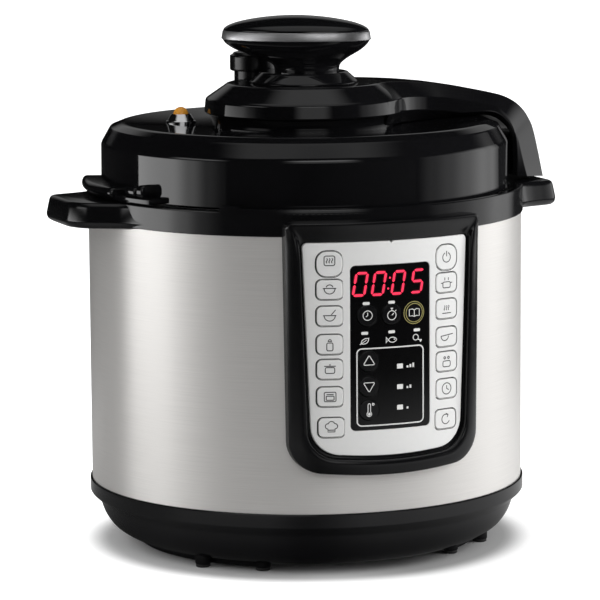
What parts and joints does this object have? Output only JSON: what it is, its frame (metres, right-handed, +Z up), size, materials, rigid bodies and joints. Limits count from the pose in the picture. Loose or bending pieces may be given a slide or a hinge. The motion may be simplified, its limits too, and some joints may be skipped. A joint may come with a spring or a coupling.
{
  "type": "electric pressure cooker",
  "caption": "Round electric pressure cooker: brushed steel body, glossy black lift-off lid with a bridge arm and knob, curved key panel with a digital display",
  "frame": {"origin": "on the table under the body's axis, at the bottom centre of the bounding box", "axes": "+Z up along the body's axis, -Y out of the control panel, +X to the right as seen from the front"},
  "size_m": [0.334, 0.2995, 0.3407],
  "materials": {
    "black_gloss": "polished black plastic",
    "black_satin": "satin black plastic",
    "foot_rubber": "matt rubber",
    "screw_steel": "zinc-plated steel",
    "brushed_shell": "brushed round the body",
    "liner_aluminium": "spun aluminium",
    "pressed_steel": "pressed sheet",
    "cast_aluminium": "turned casting",
    "element_steel": "sheathed element",
    "circuit_board": "solder mask",
    "inlet_black": "moulded",
    "pin_brass": "plated brass",
    "fascia_silver": "satin silver",
    "window_black": "dark printed window",
    "display_dark": "red seven-segment display",
    "light_guide": "clear light guide",
    "silicone_white": "silicone",
    "plate_steel": "stainless",
    "chrome_trim": "bright plating",
    "pot_coating": "dark non-stick coating",
    "float_orange": "silicone cap",
    "sensor_aluminium": "turned cap",
    "cup_smoke": "smoky plastic",
    "key_silver": "satin silver",
    "key_black": "satin black"
  },
  "bodies": {
    "housing": {"base_bowl": "black_satin", "rubber_feet": "foot_rubber", "base_screws": "screw_steel", "outer_shell": "brushed_shell", "collar": "black_satin", "inner_liner": "liner_aluminium", "locking_ring": "pressed_steel", "heating_plate": "cast_aluminium", "heater_element": "element_steel", "sensor_bracket": "pressed_steel", "power_board": "circuit_board", "inlet_socket": "inlet_black", "inlet_pins": "pin_brass", "collector_pocket": "black_satin", "bezel": "black_gloss", "fascia_plate": "fascia_silver", "display_window": "window_black", "display_module": "display_dark", "indicator_lights": "light_guide", "control_board": "circuit_board", "panel_screws": "screw_steel"},
    "seal": {"sealing_gasket": "silicone_white"},
    "lid": {"lid_cover": "black_gloss", "lid_plate": "plate_steel", "lid_screws": "screw_steel", "lid_bridge": "black_gloss", "knob_base": "black_gloss", "knob_ring": "chrome_trim", "knob_cap": "black_gloss", "float_guard": "chrome_trim", "steam_pipe": "plate_steel", "filter_cap": "plate_steel"},
    "pot": {"inner_pot": "pot_coating"},
    "float": {"float_pin": "plate_steel", "float_tip": "float_orange", "float_seal": "silicone_white"},
    "valve": {"pressure_valve": "black_satin"},
    "sensor": {"temperature_sensor": "sensor_aluminium", "sensor_spring": "screw_steel"},
    "collector": {"condensation_collector": "cup_smoke"},
    "key_cancel": {"key_cancel": "key_silver"},
    "key_left_1": {"key_left_1": "key_silver"},
    "key_left_2": {"key_left_2": "key_silver"},
    "key_left_3": {"key_left_3": "key_silver"},
    "key_left_4": {"key_left_4": "key_silver"},
    "key_left_5": {"key_left_5": "key_silver"},
    "key_left_6": {"key_left_6": "key_silver"},
    "key_power": {"key_power": "key_silver"},
    "key_right_1": {"key_right_1": "key_silver"},
    "key_right_2": {"key_right_2": "key_silver"},
    "key_right_3": {"key_right_3": "key_silver"},
    "key_right_4": {"key_right_4": "key_silver"},
    "key_right_5": {"key_right_5": "key_silver"},
    "key_right_6": {"key_right_6": "key_silver"},
    "key_delay": {"key_delay": "key_black"},
    "key_timer": {"key_timer": "key_black"},
    "key_menu": {"key_menu": "key_black"},
    "key_up": {"key_up": "key_black"},
    "key_down": {"key_down": "key_black"},
    "key_temperature": {"key_temperature": "key_black"}
  },
  "joints": [
    {"name": "lid_lift", "type": "slide", "parent": "housing", "child": "seal", "axis": [0, 0, 1], "range_m": [0, 0.36]},
    {"name": "lid_turn", "type": "hinge", "parent": "seal", "child": "lid", "pos_m": [0, 0, 0.2234], "axis": [0, 0, 1], "range_deg": [0, 20]},
    {"name": "pot_lift", "type": "slide", "parent": "housing", "child": "pot", "axis": [0, 0, 1], "range_m": [0, 0.18]},
    {"name": "float_rise", "type": "slide", "parent": "lid", "child": "float", "axis": [0, 0, 1], "range_m": [0, 0.004]},
    {"name": "pressure_valve_turn", "type": "hinge", "parent": "lid", "child": "valve", "pos_m": [-0.0162, 0.0493, 0.2874], "axis": [0, 0, 1], "range_deg": [0, 45]},
    {"name": "sensor_press", "type": "slide", "parent": "housing", "child": "sensor", "axis": [0, 0, 1], "range_m": [-0.0025, 0], "stiffness_N_per_m": 600, "springref_m": 0.003, "deforming": ["sensor_spring"]},
    {"name": "collector_slide", "type": "slide", "parent": "housing", "child": "collector", "axis": [0, 1, 0], "range_m": [0, 0.045]},
    {"name": "key_cancel_press", "type": "slide", "parent": "housing", "child": "key_cancel", "axis": [0.2669, 0.9637, 0], "range_m": [0, 0.0005], "stiffness_N_per_m": 1200, "springref_m": -0.0005},
    {"name": "key_left_1_press", "type": "slide", "parent": "housing", "child": "key_left_1", "axis": [0.2669, 0.9637, 0], "range_m": [0, 0.0005], "stiffness_N_per_m": 1200, "springref_m": -0.0005},
    {"name": "key_left_2_press", "type": "slide", "parent": "housing", "child": "key_left_2", "axis": [0.2669, 0.9637, 0], "range_m": [0, 0.0005], "stiffness_N_per_m": 1200, "springref_m": -0.0005},
    {"name": "key_left_3_press", "type": "slide", "parent": "housing", "child": "key_left_3", "axis": [0.2669, 0.9637, 0], "range_m": [0, 0.0005], "stiffness_N_per_m": 1200, "springref_m": -0.0005},
    {"name": "key_left_4_press", "type": "slide", "parent": "housing", "child": "key_left_4", "axis": [0.2669, 0.9637, 0], "range_m": [0, 0.0005], "stiffness_N_per_m": 1200, "springref_m": -0.0005},
    {"name": "key_left_5_press", "type": "slide", "parent": "housing", "child": "key_left_5", "axis": [0.2669, 0.9637, 0], "range_m": [0, 0.0005], "stiffness_N_per_m": 1200, "springref_m": -0.0005},
    {"name": "key_left_6_press", "type": "slide", "parent": "housing", "child": "key_left_6", "axis": [0.2621, 0.965, 0], "range_m": [0, 0.0005], "stiffness_N_per_m": 1200, "springref_m": -0.0005},
    {"name": "key_power_press", "type": "slide", "parent": "housing", "child": "key_power", "axis": [-0.2669, 0.9637, 0], "range_m": [0, 0.0005], "stiffness_N_per_m": 1200, "springref_m": -0.0005},
    {"name": "key_right_1_press", "type": "slide", "parent": "housing", "child": "key_right_1", "axis": [-0.2669, 0.9637, 0], "range_m": [0, 0.0005], "stiffness_N_per_m": 1200, "springref_m": -0.0005},
    {"name": "key_right_2_press", "type": "slide", "parent": "housing", "child": "key_right_2", "axis": [-0.2669, 0.9637, 0], "range_m": [0, 0.0005], "stiffness_N_per_m": 1200, "springref_m": -0.0005},
    {"name": "key_right_3_press", "type": "slide", "parent": "housing", "child": "key_right_3", "axis": [-0.2669, 0.9637, 0], "range_m": [0, 0.0005], "stiffness_N_per_m": 1200, "springref_m": -0.0005},
    {"name": "key_right_4_press", "type": "slide", "parent": "housing", "child": "key_right_4", "axis": [-0.2669, 0.9637, 0], "range_m": [0, 0.0005], "stiffness_N_per_m": 1200, "springref_m": -0.0005},
    {"name": "key_right_5_press", "type": "slide", "parent": "housing", "child": "key_right_5", "axis": [-0.2669, 0.9637, 0], "range_m": [0, 0.0005], "stiffness_N_per_m": 1200, "springref_m": -0.0005},
    {"name": "key_right_6_press", "type": "slide", "parent": "housing", "child": "key_right_6", "axis": [-0.2621, 0.965, 0], "range_m": [0, 0.0005], "stiffness_N_per_m": 1200, "springref_m": -0.0005},
    {"name": "key_delay_press", "type": "slide", "parent": "housing", "child": "key_delay", "axis": [0.1076, 0.9942, 0], "range_m": [0, 0.0005], "stiffness_N_per_m": 1200, "springref_m": -0.0005},
    {"name": "key_timer_press", "type": "slide", "parent": "housing", "child": "key_timer", "axis": [0, 1, 0], "range_m": [0, 0.0005], "stiffness_N_per_m": 1200, "springref_m": -0.0005},
    {"name": "key_menu_press", "type": "slide", "parent": "housing", "child": "key_menu", "axis": [-0.1048, 0.9945, 0], "range_m": [0, 0.0005], "stiffness_N_per_m": 1200, "springref_m": -0.0005},
    {"name": "key_up_press", "type": "slide", "parent": "housing", "child": "key_up", "axis": [0.1021, 0.9948, 0], "range_m": [0, 0.0005], "stiffness_N_per_m": 1200, "springref_m": -0.0005},
    {"name": "key_down_press", "type": "slide", "parent": "housing", "child": "key_down", "axis": [0.1021, 0.9948, 0], "range_m": [0, 0.0005], "stiffness_N_per_m": 1200, "springref_m": -0.0005},
    {"name": "key_temperature_press", "type": "slide", "parent": "housing", "child": "key_temperature", "axis": [0.1021, 0.9948, 0], "range_m": [0, 0.0005], "stiffness_N_per_m": 1200, "springref_m": -0.0005}
  ],
  "couplings": [
    {"joint": "pot_lift", "follows": "lid_lift", "ratio": 0.5}
  ]
}
